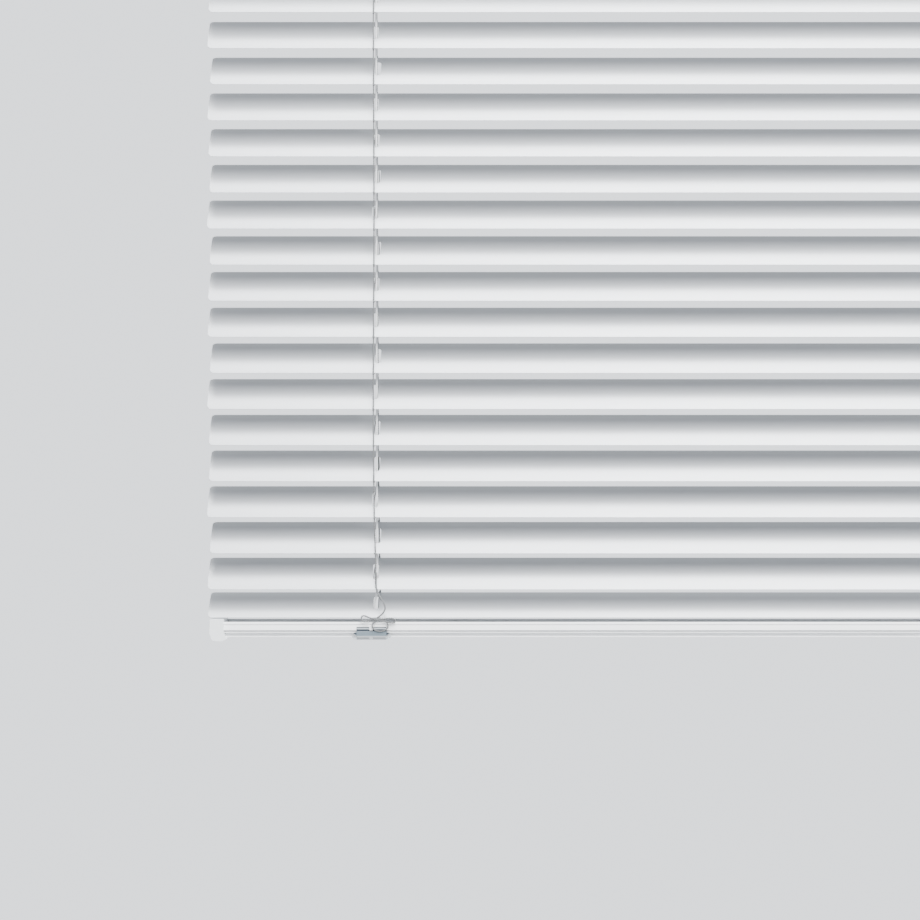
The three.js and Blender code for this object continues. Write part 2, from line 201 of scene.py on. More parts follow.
def joined_tubes(name, routes):
    """One mesh with a tube along each route. A route is its points and its radius."""
    vertices = []
    faces = []
    for points, radius in routes:
        more, joined = tube(points, radius, TUBE_SIDES, len(vertices))
        vertices += more
        faces += joined
    return mesh_from(name, vertices, faces)


def twisted_cord(name, knots, diameter=STRING_DIAMETER):
    """A string of plies laid round each other."""
    points = spline_points(knots, STRING_LAY / 8)
    frames = moving_frames(points)
    spacing = (points[1] - points[0]).length
    ply_reach = 0.24 * diameter
    ply_radius = 0.29 * diameter
    routes = []
    for ply in range(STRING_PLIES):
        strand = []
        for i, (centre, (across, up)) in enumerate(zip(points, frames)):
            angle = 2 * math.pi * (ply / STRING_PLIES + i * spacing / STRING_LAY)
            strand.append(centre + (across * math.cos(angle) + up * math.sin(angle)) * ply_reach)
        routes.append((strand, ply_radius))
    return joined_tubes(name, routes)


def braided_cord(name, knots):
    """A round braid: raised diamonds where its strands cross."""
    step = CORD_DIAMETER / 5
    turns_per_step = 0.55 * step / CORD_DIAMETER

    def radius(i, angle):
        along = 2 * math.pi * turns_per_step * i
        crossing = math.cos(3 * angle + along) * math.cos(3 * angle - along)
        return CORD_DIAMETER / 2 * (0.94 + 0.07 * crossing)

    return mesh_from(name, *tube(spline_points(knots, step), radius, 18))


def coil(radius, rise, turns, sides):
    """Points round the Z axis, rising from half the rise below the origin to half above it."""
    steps = turns * sides
    points = []
    for i in range(steps + 1):
        angle = 2 * math.pi * i / sides
        height = rise * (i / steps - 0.5)
        points.append(Vector((radius * math.cos(angle), radius * math.sin(angle), height)))
    return points


def rounded_outline(corners, steps=4):
    """A closed outline with each corner (y, z, radius) rounded."""
    points = []
    count = len(corners)
    for i, (y, z, radius) in enumerate(corners):
        here = Vector((y, z))
        before = Vector(corners[i - 1][:2]) - here
        after = Vector(corners[(i + 1) % count][:2]) - here
        if radius <= 0:
            points.append(here)
            continue
        half = before.angle(after) / 2
        back = min(radius / math.tan(half), before.length * 0.49, after.length * 0.49)
        start = here + before.normalized() * back
        end = here + after.normalized() * back
        for k in range(steps + 1):
            t = k / steps
            points.append((1 - t) ** 2 * start + 2 * t * (1 - t) * here + t * t * end)
    return points


def extruded(name, outline, low, high, place, hole=None):
    """An outline of (a, b) points drawn out from low to high, with a hole right through if one is
    given. place turns (a, b, height) into a point of the object."""
    bm = bmesh.new()
    loops = []
    for points in [outline] + ([hole] if hole else []):
        near = [bm.verts.new(place(p.x, p.y, low)) for p in points]
        far = [bm.verts.new(place(p.x, p.y, high)) for p in points]
        loops.append((near, far))
        for k in range(len(points)):
            nxt = (k + 1) % len(points)
            bm.faces.new((near[k], near[nxt], far[nxt], far[k]))
    for end in (0, 1):
        edges = []
        for pair in loops:
            ring = pair[end]
            for k in range(len(ring)):
                edges.append(bm.edges.get((ring[k], ring[(k + 1) % len(ring)])))
        bmesh.ops.triangle_fill(bm, use_beauty=True, use_dissolve=False, edges=edges)
    bmesh.ops.recalc_face_normals(bm, faces=bm.faces)
    mesh = bpy.data.meshes.new(name)
    bm.to_mesh(mesh)
    bm.free()
    return mesh


def along_x(a, b, height):
    return (height, a, b)


def along_y(a, b, height):
    return (a, height, b)


def soften(piece, width, segments, sharp_above=35):
    """Rounds the sharp edges of a piece."""
    bevel = piece.modifiers.new("soft_edges", "BEVEL")
    bevel.width = width
    bevel.segments = segments
    bevel.limit_method = "ANGLE"
    bevel.angle_limit = math.radians(sharp_above)


def apply_modifiers(piece):
    """Leaves the piece with the mesh that its modifiers make."""
    graph = bpy.context.evaluated_depsgraph_get()
    made = bpy.data.meshes.new_from_object(piece.evaluated_get(graph))
    piece.modifiers.clear()
    piece.data = made


# Materials.

class Nodes:
    """A material's node tree, built with short calls."""

    def __init__(self, name):
        self.material = bpy.data.materials.new(name)
        self.material.use_nodes = True
        self.tree = self.material.node_tree
        self.surface = self.tree.nodes["Principled BSDF"]

    def add(self, kind, **settings):
        node = self.tree.nodes.new(kind)
        for key, value in settings.items():
            if key in node.inputs:
                node.inputs[key].default_value = value
            else:
                setattr(node, key, value)
        return node

    def link(self, out, into):
        self.tree.links.new(out, into)

    def place(self, scale=(1, 1, 1)):
        """Object coordinates, scaled."""
        coordinates = self.add("ShaderNodeTexCoord")
        mapping = self.add("ShaderNodeMapping")
        mapping.inputs["Scale"].default_value = scale
        self.link(coordinates.outputs["Object"], mapping.inputs["Vector"])
        return mapping.outputs["Vector"]

    def noise(self, place, scale, detail=3, roughness=0.5):
        node = self.add("ShaderNodeTexNoise", Scale=scale, Detail=detail, Roughness=roughness)
        self.link(place, node.inputs["Vector"])
        return node.outputs["Fac"]

    def ramp(self, value, stops):
        node = self.add("ShaderNodeValToRGB")
        while len(node.color_ramp.elements) < len(stops):
            node.color_ramp.elements.new(0.5)
        for element, (position, colour) in zip(node.color_ramp.elements, stops):
            element.position = position
            element.color = (*colour, 1)
        self.link(value, node.inputs["Fac"])
        return node.outputs["Color"]

    def between(self, value, low, high):
        node = self.add("ShaderNodeMapRange")
        node.inputs["To Min"].default_value = low
        node.inputs["To Max"].default_value = high
        self.link(value, node.inputs["Value"])
        return node.outputs["Result"]

    def bump(self, height, strength, distance):
        node = self.add("ShaderNodeBump", Strength=strength, Distance=distance)
        self.link(height, node.inputs["Height"])
        self.link(node.outputs["Normal"], self.surface.inputs["Normal"])

    def set(self, **values):
        for key, value in values.items():
            self.surface.inputs[key.replace("_", " ")].default_value = value


def lacquered_aluminium():
    """Satin silver lacquer with the fine grain of rolled sheet along the slat."""
    n = Nodes("slat_lacquer")
    n.set(Metallic=0.45)
    grain = n.noise(n.place((25, 900, 900)), 1.6, 4, 0.6)
    cloud = n.noise(n.place((3, 12, 12)), 2.0, 3)
    colour = n.ramp(cloud, [(0.3, (0.435, 0.45, 0.47)), (0.7, (0.455, 0.47, 0.485))])
    n.link(colour, n.surface.inputs["Base Color"])
    n.link(n.between(grain, 0.34, 0.46), n.surface.inputs["Roughness"])
    n.bump(grain, 0.05, 0.00002)
    return n.material


def enamelled_metal():
    """Silver-white enamel on the rails."""
    n = Nodes("rail_enamel")
    peel = n.noise(n.place(), 900, 2)
    cloud = n.noise(n.place((4, 20, 20)), 3.0, 3)
    colour = n.ramp(cloud, [(0.3, (0.89, 0.905, 0.92)), (0.7, (0.92, 0.93, 0.94))])
    n.link(colour, n.surface.inputs["Base Color"])
    n.link(n.between(cloud, 0.3, 0.42), n.surface.inputs["Roughness"])
    n.bump(peel, 0.06, 0.00003)
    return n.material


def moulded_plastic(name, low, high, roughness=0.45):
    """Pale moulded plastic with a fine spark finish."""
    n = Nodes(name)
    n.set(Specular_IOR_Level=0.4)
    texture = n.noise(n.place(), 2600, 2)
    cloud = n.noise(n.place(), 60, 3)
    n.link(n.ramp(cloud, [(0.3, low), (0.7, high)]), n.surface.inputs["Base Color"])
    n.link(n.between(texture, roughness - 0.08, roughness + 0.08), n.surface.inputs["Roughness"])
    n.bump(texture, 0.12, 0.00004)
    return n.material


def translucent_plastic(name, colour, transmission, roughness):
    """Clear plastic with faint flow marks."""
    n = Nodes(name)
    n.set(Roughness=roughness, IOR=1.49, Transmission_Weight=transmission)
    flow = n.noise(n.place((1, 1, 0.4)), 140, 3)
    low = tuple(c * 0.92 for c in colour)
    n.link(n.ramp(flow, [(0.3, low), (0.7, colour)]), n.surface.inputs["Base Color"])
    n.bump(flow, 0.05, 0.0001)
    return n.material


def clip_plastic():
    """Smoke-blue plastic, with painted shade: dark tones along its two grooves stand for the shadow in
    them.
    """
    n = Nodes("clip_plastic")
    n.set(Roughness=0.22, IOR=1.49, Transmission_Weight=0.15)
    coordinates = n.add("ShaderNodeTexCoord")
    split = n.add("ShaderNodeSeparateXYZ")
    n.link(coordinates.outputs["Object"], split.inputs["Vector"])
    low = RAIL_BOTTOM - 1.2 * MM
    high = RAIL_TOP - 3.4 * MM
    height = n.add("ShaderNodeMapRange")
    height.inputs["From Min"].default_value = low
    height.inputs["From Max"].default_value = high
    n.link(split.outputs["Z"], height.inputs["Value"])
    clear = (0.42, 0.44, 0.455)
    band = (0.17, 0.215, 0.25)
    # painted shade: near-black tone for the shadow along the clip's two grooves
    groove = (0.035, 0.045, 0.06)
    rib = (0.36, 0.40, 0.43)
    tones = [
        (RAIL_TOP - 9.0 * MM, clear),
        (RAIL_TOP - 8.6 * MM, band),
        (RAIL_TOP - 6.2 * MM, band),
        (RAIL_TOP - 6.0 * MM, groove),
        (RAIL_TOP - 5.1 * MM, groove),
        (RAIL_TOP - 4.9 * MM, rib),
        (RAIL_TOP - 4.2 * MM, rib),
        (RAIL_TOP - 4.0 * MM, groove),
    ]
    stops = [((z - low) / (high - low), tone) for z, tone in tones]
    n.link(n.ramp(height.outputs["Result"], stops), n.surface.inputs["Base Color"])
    n.bump(n.noise(n.place(), 900), 0.04, 0.00004)
    return n.material


def zinc_steel():
    """Zinc plate: bright grey with a faint spangle."""
    n = Nodes("zinc_steel")
    n.set(Metallic=1.0)
    spangle = n.add("ShaderNodeTexVoronoi", Scale=420)
    n.link(n.place(), spangle.inputs["Vector"])
    scratch = n.noise(n.place((40, 900, 900)), 1.4, 3)
    colour = n.ramp(spangle.outputs["Distance"], [(0.2, (0.55, 0.57, 0.59)), (0.8, (0.66, 0.68, 0.70))])
    n.link(colour, n.surface.inputs["Base Color"])
    n.link(n.between(scratch, 0.26, 0.46), n.surface.inputs["Roughness"])
    n.bump(scratch, 0.08, 0.00003)
    return n.material


def spun_fibre(name, low, high, scale):
    """Polyester yarn: matt, with painted shade making it a little darker between its filaments."""
    n = Nodes(name)
    n.set(Roughness=0.8, Sheen_Weight=0.25, Sheen_Roughness=0.5)
    fibre = n.noise(n.place((1, 1, 0.25)), scale, 4, 0.65)
    # painted shade: the noise that raises the filaments also darkens the hollows between them
    n.link(n.ramp(fibre, [(0.32, low), (0.68, high)]), n.surface.inputs["Base Color"])
    n.bump(fibre, 0.3, 0.00008)
    return n.material


SLAT = lacquered_aluminium()
ENAMEL = enamelled_metal()
WHITE_PLASTIC = moulded_plastic("white_plastic", (0.80, 0.83, 0.845), (0.84, 0.865, 0.88))
CLIP_PLASTIC = clip_plastic()
# painted shade: near-black plastic for the barbs, standing in for the shadow between the ears and the rail
CLIP_SHADE = moulded_plastic("clip_shade", (0.03, 0.04, 0.05), (0.05, 0.06, 0.075), 0.35)
CLEAR_PLASTIC = translucent_plastic("clear_plastic", (0.86, 0.89, 0.91), 0.85, 0.12)
STEEL = zinc_steel()
CORD = spun_fibre("lift_cord", (0.74, 0.75, 0.76), (0.90, 0.91, 0.91), 5000)
STRING = spun_fibre("ladder_string", (0.095, 0.1, 0.105), (0.19, 0.197, 0.20), 6000)


# Slats.

def crown_height(u):
    """Height of the curved slat above its chord, u across it from the middle."""
    radius = SLAT_WIDTH / 2 / math.sin(math.radians(CROWN_ANGLE))
    return math.sqrt(radius ** 2 - u ** 2) - radius * math.cos(math.radians(CROWN_ANGLE))


def arc_points(centre, radius, start, end, steps):
    points = []
    for i in range(steps + 1):
        angle = math.radians(start + (end - start) * i / steps)
        points.append(Vector((centre[0] + radius * math.cos(angle), centre[1] + radius * math.sin(angle))))
    return points


def slat_outline():
    """The flat blank of a slat, with rounded corners."""
    x = SLAT_LENGTH / 2 - SLAT_CORNER
    y = SLAT_WIDTH / 2 - SLAT_CORNER
    points = []
    for sx, sy, start in ((1, 1, 0), (-1, 1, 90), (-1, -1, 180), (1, -1, 270)):
        points += arc_points((sx * x, sy * y), SLAT_CORNER, start, start + 90, 6)
    return points


def slot_outline(x):
    radius = SLOT_WIDTH / 2
    rear = arc_points((x, SLOT_REAR - radius), radius, 0, 180, 8)
    return rear + arc_points((x, radius - SLOT_FRONT), radius, 180, 360, 8)


def slat_mesh():
    """The flat blank is filled between its outline and its slots, cut into strips and crowned."""
    bm = bmesh.new()
    edges = []
    slots = [slot_outline(x + SLOT_OFFSET) for x in LADDERS.values()]
    for outline in [slat_outline()] + slots:
        ring = [bm.verts.new((p.x, p.y, 0)) for p in outline]
        for a, b in zip(ring, ring[1:] + ring[:1]):
            edges.append(bm.edges.new((a, b)))
    bmesh.ops.triangle_fill(bm, use_beauty=True, use_dissolve=False, edges=edges)
    for k in range(1, SLAT_STRIPS):
        y = SLAT_WIDTH * (k / SLAT_STRIPS - 0.5)
        everything = bm.verts[:] + bm.edges[:] + bm.faces[:]
        bmesh.ops.bisect_plane(bm, geom=everything, plane_co=(0, y, 0), plane_no=(0, 1, 0))
    bmesh.ops.remove_doubles(bm, verts=bm.verts, dist=1e-7)
    bmesh.ops.recalc_face_normals(bm, faces=bm.faces)
    for vertex in bm.verts:
        vertex.co.z = crown_height(vertex.co.y)
    if bm.faces[0].normal.z < 0:
        bmesh.ops.reverse_faces(bm, faces=bm.faces)
    mesh = bpy.data.meshes.new("slat_sheet")
    bm.to_mesh(mesh)
    bm.free()
    return mesh


def thickened(mesh, thickness):
    """The same sheet with a thickness, half of it on each side."""
    piece = bpy.data.objects.new("blank", mesh)
    bpy.context.scene.collection.objects.link(piece)
    solid = piece.modifiers.new("gauge", "SOLIDIFY")
    solid.thickness = thickness
    solid.offset = 0
    bpy.context.view_layer.update()
    apply_modifiers(piece)
    made = piece.data
    bpy.data.objects.remove(piece)
    return made


def slat_play(number):
    """The small end play that each slat has on its ladders."""
    return 0.9 * MM * math.sin(2.4 * number + 0.6)


def slat_place(number):
    """Where a slat hangs: its pivot, its tilt and its end play."""
    tilt = LOWEST_TILT if number == SLATS else TILT
    pivot = Vector(JOINTS[f"slat_{number:02d}_tilt"]["pos_m"])
    play = slat_play(number)
    return Matrix.Translation(pivot + Vector((play, 0, 0))) @ Matrix.Rotation(math.radians(tilt), 4, "X")


def build_slats():
    mesh = thickened(slat_mesh(), SLAT_GAUGE)
    shade(mesh, 50)
    for number in range(1, SLATS + 1):
        name = f"slat_{number:02d}"
        make_object(f"{name}_sheet", mesh, name, SLAT, [name], slat_place(number))


# Ladder strings. Their sideways wander is worked out from the share of the ladder above a point.

FRONT_START = -0.25 * MM
WAVE_LENGTH = 0.75
WAVE_LEFTMOST = 0.63
WAVE_OFFSET = 0.315 * MM
WAVE_REACH = 0.675 * MM
FRONT_BEND_FROM = 0.86
FRONT_BEND = 10.4 * MM
REAR_START = 0.8 * MM
REAR_LEAN = 1.1 * MM
REAR_BEND_FROM = 0.8
REAR_BEND = 2.0 * MM


def rung_end(number, side):
    """Height of a slat's rung end at rest. side is -1 in front and 1 behind."""
    tilt = LOWEST_TILT if number == SLATS else TILT
    pivot = JOINTS[f"slat_{number:02d}_tilt"]["pos_m"][2]
    return pivot + side * LADDER_REACH * math.sin(math.radians(tilt))


def stand_off(number):
    """How far a slat's rung ends stand in front of and behind its pivot at rest."""
    tilt = LOWEST_TILT if number == SLATS else TILT
    return LADDER_REACH * math.cos(math.radians(tilt))


def sway(z, side):
    """How far a ladder string stands to the right of its ladder's line at height z."""
    down = (rung_end(1, side) - z) / (rung_end(1, side) - rung_end(SLATS, side))
    return front_sway(down) if side < 0 else rear_sway(down)


def front_sway(down):
    """A front string waves from side to side and bends right over the last slats."""
    wave = WAVE_OFFSET - WAVE_REACH * math.cos(2 * math.pi * (down - WAVE_LEFTMOST) / WAVE_LENGTH)
    bend = FRONT_BEND * max(0, down - FRONT_BEND_FROM)
    return wave * down + FRONT_START * (1 - down) + bend


def rear_sway(down):
    """A rear string leans to the right, and more over the last slats."""
    bend = REAR_BEND * max(0, down - REAR_BEND_FROM) ** 0.5
    return REAR_START + (REAR_LEAN + bend) * down


def hanging_route(x, side, last):
    """Down a ladder, past the ends of its rungs from the first to the last."""
    knots = []
    for number in range(1, last + 1):
        z = rung_end(number, side)
        knots.append((x + sway(z, side), side * stand_off(number), z))
    return knots


def slack_route(x):
    """The front string's last loop, from the last hanging rung down to the bottom rail."""
    last = rung_end(SLATS - 1, -1)
    y = -stand_off(SLATS - 1)
    low = -stand_off(SLATS)
    drop = last - RAIL_TOP
    return [
        (x + sway(last, -1), y, last),
        (x + 6.0 * MM, low, last - 0.40 * drop),
        (x + 6.8 * MM, low - 0.5 * MM, last - 0.60 * drop),
        (x + 5.2 * MM, low - 0.8 * MM, last - 0.76 * drop),
        (x + 2.4 * MM, low - 0.7 * MM, last - 0.89 * drop),
        (x + 0.8 * MM, low - 0.3 * MM, RAIL_TOP + 0.5 * MM),
    ]


def rear_end_route(x):
    """The rear string's end, from the last hanging rung past the lowest slat to the rail."""
    last = rung_end(SLATS - 1, 1)
    y = stand_off(SLATS - 1)
    low = stand_off(SLATS)
    lowest = rung_end(SLATS, 1)
    return [
        (x + sway(last, 1), y, last),
        (x + sway(lowest, 1), (y + low) / 2, (last + lowest) / 2),
        (x + sway(lowest, 1), low, lowest),
        (x + 2.5 * MM, low, RAIL_TOP + 0.3 * MM),
    ]


def add_string(name, knots, body, node):
    return make_object(name, twisted_cord(name, knots), body, STRING, [node])


def build_string(side, place, x):
    """A lead out of the headrail, the long string down the ladder, and the last length again on the
    rail, which meets the long string when the slats turn the other way."""
    way = "front" if side < 0 else "rear"
    body = f"string_{way}_{place}"
    node = f"ladder_string_{way}_{place}"
    first = rung_end(1, side)
    top = (x + sway(first, side), side * stand_off(1), first)
    mouth = (x, side * 6 * MM, HEADRAIL_BOTTOM + (2.5 * MM if side < 0 else 20 * MM))
    middle = tuple((a + b) / 2 for a, b in zip(top, mouth))
    add_string(f"{body}_lead", [mouth, middle, top], body, node)
    hanging = hanging_route(x, side, SLATS - 2)
    end = slack_route(x) if side < 0 else rear_end_route(x)
    run = add_string(f"{body}_run", hanging + (end if side < 0 else end[:2]), body, node)
    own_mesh(run)
    above = tuple((a + b) / 2 for a, b in zip(hanging[-1], end[0]))
    tail = add_string(f"{body}_tail", [above] + end if side < 0 else end, "bottom_rail", node)
    if side > 0:
        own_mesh(tail)


RUNG_RADIUS = 0.3 * MM
RUNG_DEPTH = 0.45 * MM
HITCH_RADIUS = 0.42 * MM
HITCH_THREAD = 0.22 * MM
HITCH_RISE = 1 * MM


def rung_knots(number):
    """Two strings under a slat, from the front ladder string to the rear one. One of them
    shows in the slat's slot beside the lift cord, on the left and on the right by turns."""
    front = (sway(rung_end(number, -1), -1), -LADDER_REACH, 0)
    rear = (sway(rung_end(number, 1), 1), LADDER_REACH, 0)
    bend = 0.6 * LADDER_REACH
    beside = (-0.1 * MM, 0.4 * MM) if number % 2 else (2.5 * MM, 2.3 * MM)
    away = (4.2 * MM, 4.0 * MM) if number % 2 else (-2.6 * MM, -2.2 * MM)
    strings = []
    for front_x, rear_x in (beside, away):
        strings.append([front, (front_x, -bend, -RUNG_DEPTH), (rear_x, bend, -RUNG_DEPTH), rear])
    return strings


def rung_mesh(name, number):
    """The two strings of a rung, with two turns round the ladder string at each end."""
    routes = [(spline_points(knots, 0.8 * MM), RUNG_RADIUS) for knots in rung_knots(number)]
    for side in (-1, 1):
        end = Vector((sway(rung_end(number, side), side), side * LADDER_REACH, 0))
        turns = [end + point for point in coil(HITCH_RADIUS, HITCH_RISE, 2, 10)]
        routes.append((turns, HITCH_THREAD))
    return joined_tubes(name, routes)


def build_rungs():
    for number in range(1, SLATS + 1):
        for ladder, x in LADDERS.items():
            name = f"rung_{ladder}_{number:02d}"
            mesh = rung_mesh(name, number)
            body = f"slat_{number:02d}"
            place = Matrix.Translation((x - slat_play(number), 0, 0)) @ slat_place(number)
            make_object(name, mesh, body, STRING, place=place)


def build_ladders():
    for place, x in LADDERS.items():
        build_string(-1, place, x)
        build_string(1, place, x)


# Lift cords: one run inside the headrail, turns on the spool and one drop through the slats.

RUN_Z = -21.6 * MM
SPOOL_X = -16 * MM
WINDING_RADIUS = 6.7 * MM
GROOVE_PITCH = 3.3 * MM
OVER_SPRING_Z = -15.9 * MM
CASE_MOUTH = 34.5 * MM


def spool_route(place):
    """The start of a cord's run, at the spool. The right cord leaves the upper groove and passes
    over the spring and its arbor on its way out of the motor case."""
    if place == "left":
        return [(SPOOL_X - WINDING_RADIUS, CORD_Y, RUN_Z)]
    upper = RUN_Z + GROOVE_PITCH
    return [
        (SPOOL_X + WINDING_RADIUS, CORD_Y, upper),
        (SPOOL_X + 8.5 * MM, CORD_Y, upper + 0.1 * MM),
        (4 * MM, CORD_Y, OVER_SPRING_Z - 0.2 * MM),
        (10 * MM, CORD_Y, OVER_SPRING_Z),
        (22 * MM, CORD_Y, OVER_SPRING_Z),
        (28 * MM, CORD_Y, OVER_SPRING_Z - 1 * MM),
        (CASE_MOUTH, CORD_Y, RUN_Z + 0.4 * MM),
        (CASE_MOUTH + 7.5 * MM, CORD_Y, RUN_Z),
    ]


def drop_route(x):
    """Down through the slots: the cord leans across the lowest slat."""
    top = RUN_Z - 5 * MM
    lowest = rung_end(SLATS, 1)
    height = top - lowest
    return [
        (x, CORD_Y, top),
        (x, DROP_Y, rung_end(1, 1)),
        (x + 0.1 * MM, DROP_Y, top - height * 0.3),
        (x + 0.3 * MM, DROP_Y, top - height * 0.6),
        (x + 0.5 * MM, DROP_Y, top - height * 0.9),
        (x + 0.5 * MM, DROP_Y, lowest + 1 * MM),
        (x - 1.0 * MM, DROP_Y, lowest - 8 * MM),
        (x - 1.3 * MM, DROP_Y, RAIL_TOP - 2.5 * MM),
    ]


def build_lift_cord(place, ladder):
    """The run inside the headrail, and the drop down through the slots."""
    side = math.copysign(1, ladder)
    x = ladder + CORD_OFFSET
    first = 2 if place == "left" else 3
    nodes = [f"lift_cord_{place}_{number:02d}" for number in range(first, SLATS, 2)]
    inside = spool_route(place) + [
        (side * 0.11, CORD_Y, RUN_Z),
        (x - side * 5 * MM, CORD_Y, RUN_Z),
        (x - side * 1.2 * MM, CORD_Y, RUN_Z - 1 * MM),
        (x, CORD_Y, RUN_Z - 5 * MM),
    ]
    run = braided_cord(f"lift_cord_{place}_inside", inside)
    make_object(run.name, run, "headrail", CORD, nodes)
    route = drop_route(x)
    drop = braided_cord(f"lift_cord_{place}_drop", route)
    piece = make_object(drop.name, drop, "headrail", CORD, nodes)
    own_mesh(piece)


def build_winding():
    """The turns of both lift cords in the two grooves of the spool."""
    for name, z in (("lower", RUN_Z), ("upper", RUN_Z + GROOVE_PITCH)):
        centre = Vector((SPOOL_X, 0, z))
        turns = [centre + point for point in coil(WINDING_RADIUS, 1.2 * MM, 2, 24)]
        mesh = braided_cord(f"cord_winding_{name}", turns)
        make_object(mesh.name, mesh, "cord_spool", CORD)


SPRING_LOW = -23.6 * MM
SPRING_HIGH = -16.8 * MM
SPRING_INNER = 6.2 * MM
SPRING_OUTER = 8.9 * MM
SPRING_TURNS = 9
SPRING_STEPS = 420
SPRING_GAUGE = 0.12 * MM


def build_spring():
    """The motor's flat steel spring, coiled in the second well of the case."""
    bm = bmesh.new()
    previous = None
    for i in range(SPRING_STEPS + 1):
        share = i / SPRING_STEPS
        angle = 2 * math.pi * SPRING_TURNS * share
        radius = SPRING_INNER + (SPRING_OUTER - SPRING_INNER) * share
        x = -SPOOL_X + radius * math.cos(angle)
        y = radius * math.sin(angle)
        pair = [bm.verts.new((x, y, SPRING_LOW)), bm.verts.new((x, y, SPRING_HIGH))]
        if previous:
            bm.faces.new((previous[0], pair[0], pair[1], previous[1]))
        previous = pair
    mesh = bpy.data.meshes.new("motor_spring")
    bm.to_mesh(mesh)
    bm.free()
    mesh = thickened(mesh, SPRING_GAUGE)
    shade(mesh, 50)
    make_object("motor_spring", mesh, "headrail", STEEL)


# The bow that ties off each front string above its clip. Its routes are in millimetres from the knot.

BOW_THREAD = 1.05 * STRING_DIAMETER
BOW_LOOPS = {"left": (-8.2, 1.9, 0.6), "right": (12.0, 1.5, -0.9)}
KNOT_RADIUS = 0.65
KNOT_LENGTH = 2.1


def bow_loop(reach, width, droop):
    """A teardrop loop that leaves the knot, runs out to its reach and comes back."""
    steps = 10
    route = []
    for i in range(steps + 1):
        t = i / steps
        out = math.sin(math.pi * t) ** 0.8
        across = width * math.sin(2 * math.pi * t) * (0.35 + 0.65 * out)
        route.append(Vector((reach * out, -0.9 * out, across + droop * out)))
    return route


def clip_loop():
    """From the knot down round the clip's waist and back."""
    centre_x, centre_z = 3.0, -3.7
    half_width, half_height = 4.7, 3.4
    start, sweep = 100, 325
    steps = 12
    route = [Vector((0, 0, 0))]
    for i in range(steps + 1):
        t = i / steps
        angle = math.radians(start + sweep * t)
        x = centre_x + half_width * math.cos(angle)
        z = centre_z + half_height * math.sin(angle)
        route.append(Vector((x, -1.1 * math.sin(math.pi * t), z)))
    return route + [Vector((1.5, 0, -0.6))]


def build_bow(place, x):
    centre = Vector((x + 1.0 * MM, -stand_off(SLATS) - 1.7 * MM, RAIL_TOP + 1.0 * MM))
    routes = {name: bow_loop(*shape) for name, shape in BOW_LOOPS.items()}
    routes["hitch"] = clip_loop()
    routes["knot"] = [point.zxy for point in coil(KNOT_RADIUS, KNOT_LENGTH, 3, 10)]
    for name, route in routes.items():
        knots = [centre + point * MM for point in route]
        mesh = twisted_cord(f"bow_{name}_{place}", knots, BOW_THREAD)
        make_object(mesh.name, mesh, "bottom_rail", STRING)


# Bottom rail, its end caps and the ladder clips.

LIP_DROP = 0.7 * MM


def rail_side(lip_drop):
    """One side of the rail's section: groove, lip, face between two folds, bead, skirt and foot.
    Each corner is (y, z, radius)."""
    half = SLAT_WIDTH / 2
    lip = RAIL_TOP - lip_drop
    return [
        (half - 0.9 * MM, RAIL_TOP - 1.9 * MM, 0.2 * MM),
        (half - 0.9 * MM, lip - 0.25 * MM, 0.1 * MM),
        (half - 2.6 * MM, lip - 0.25 * MM, 0.1 * MM),
        (half - 2.6 * MM, lip, 0.1 * MM),
        (half - 0.7 * MM, lip, 0.3 * MM),
        (half - 0.4 * MM, RAIL_TOP - 2.0 * MM, 0.1 * MM),
        (half - 0.9 * MM, RAIL_TOP - 2.2 * MM, 0.05 * MM),
        (half - 0.7 * MM, RAIL_TOP - 2.5 * MM, 0.1 * MM),
        (half, RAIL_TOP - 5.6 * MM, 0.2 * MM),
        (half - 2.4 * MM, RAIL_TOP - 5.7 * MM, 0.1 * MM),
        (half - 2.4 * MM, RAIL_TOP - 6.4 * MM, 0.1 * MM),
        (half - 0.1 * MM, RAIL_TOP - 6.5 * MM, 0.2 * MM),
        (half - 0.2 * MM, RAIL_TOP - 7.0 * MM, 0.25 * MM),
        (half - 2.8 * MM, RAIL_TOP - 7.2 * MM, 0.2 * MM),
        (half - 2.9 * MM, RAIL_BOTTOM + 1.0 * MM, 0.3 * MM),
        (half - 1.0 * MM, RAIL_BOTTOM + 0.8 * MM, 0.2 * MM),
        (half - 1.2 * MM, RAIL_BOTTOM, 0.4 * MM),
    ]


def rail_section():
    """The rear lip stands a little higher than the front one."""
    rear = rail_side(0)
    front = [(-y, z, r) for y, z, r in reversed(rail_side(LIP_DROP))]
    return rounded_outline(rear + front)


def build_bottom_rail():
    half = SLAT_WIDTH / 2 - 3.4 * MM
    top = RAIL_TOP - 2.8 * MM
    bottom = RAIL_BOTTOM + 0.9 * MM
    corners = [(half, top), (half, bottom), (-half, bottom), (-half, top)]
    hole = rounded_outline([(y, z, 0.5 * MM) for y, z in corners])
    end = RAIL_HALF - 1.2 * MM
    mesh = extruded("bottom_rail_tube", rail_section(), -end, end, along_x, hole)
    shade(mesh, 40)
    make_object(mesh.name, mesh, "bottom_rail", ENAMEL, ["bottom_rail"])


def cap_outline(side):
    """Front view of an end cap: straight top, rounded outer foot and a toe under the rail."""
    outer = RAIL_HALF + 0.1 * MM
    inner = RAIL_HALF - 8.2 * MM
    foot = RAIL_BOTTOM - 1.9 * MM
    corners = [
        (outer - 0.2 * MM, RAIL_TOP + 1.1 * MM, 0.5 * MM),
        (outer, RAIL_BOTTOM + 2.5 * MM, 3 * MM),
        (outer - 1.4 * MM, foot, 2.6 * MM),
        (inner + 0.5 * MM, foot, 2.5 * MM),
        (inner - 2.4 * MM, RAIL_BOTTOM - 0.35 * MM, 0.3 * MM),
        (inner - 1.1 * MM, RAIL_BOTTOM + 0.5 * MM, 1.2 * MM),
        (inner, RAIL_BOTTOM + 3.6 * MM, 2 * MM),
        (inner, RAIL_TOP + 1.1 * MM, 0.5 * MM),
    ]
    return rounded_outline([(side * x, z, r) for x, z, r in corners], 6)


